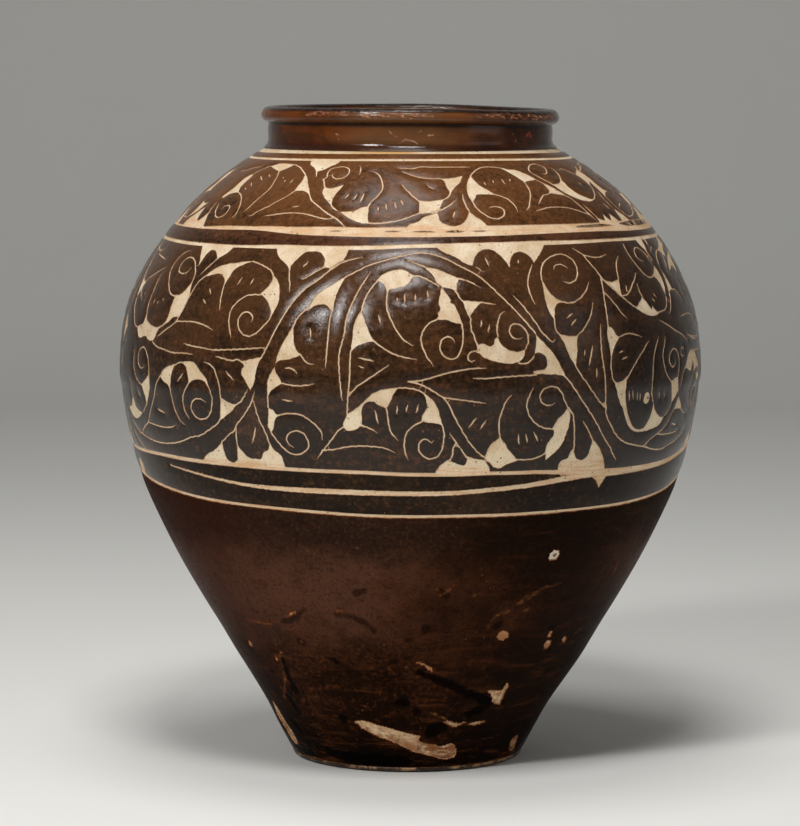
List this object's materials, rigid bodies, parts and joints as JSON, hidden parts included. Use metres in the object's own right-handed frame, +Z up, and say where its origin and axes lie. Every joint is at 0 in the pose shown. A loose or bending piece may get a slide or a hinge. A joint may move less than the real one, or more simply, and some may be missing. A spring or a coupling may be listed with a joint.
{
  "type": "ovoid jar",
  "caption": "Ovoid stoneware storage jar with a short neck, rolled rim and narrow foot, under dark glaze with a carved foliate scroll cut through to white slip; stands on its flat foot.",
  "frame": {"origin": "centre of the foot's resting plane, which is the middle of the bounding box's bottom face", "axes": "+Z is up along the jar's turning axis; -Y faces the viewer of the picture and +X is to its right"},
  "size_m": [0.3578, 0.3578, 0.4],
  "materials": {
    "stoneware_clay": "unglazed buff stoneware, slightly rough",
    "white_slip": "cream slip, matt, bare where the glaze is cut away",
    "amber_glaze": "glossy amber-brown glaze over the neck and rim",
    "dark_glaze": "satin blackish-brown glaze",
    "red_brown_glaze": "satin reddish-brown glaze, worn and chipped near the foot"
  },
  "bodies": {
    "root": {"base_slab": "stoneware_clay", "lower_wall": "stoneware_clay", "upper_wall": "stoneware_clay", "neck_collar": "stoneware_clay", "rolled_rim": "stoneware_clay", "slip_coat": "white_slip", "neck_glaze": "amber_glaze", "inner_glaze": "dark_glaze", "neck_ring_glaze": "dark_glaze", "shoulder_band_glaze": "dark_glaze", "dividing_ring_glaze": "dark_glaze", "belly_band_glaze": "dark_glaze", "upper_border_glaze": "dark_glaze", "lower_border_glaze": "dark_glaze", "lower_body_glaze": "red_brown_glaze"}
  },
  "joints": []
}
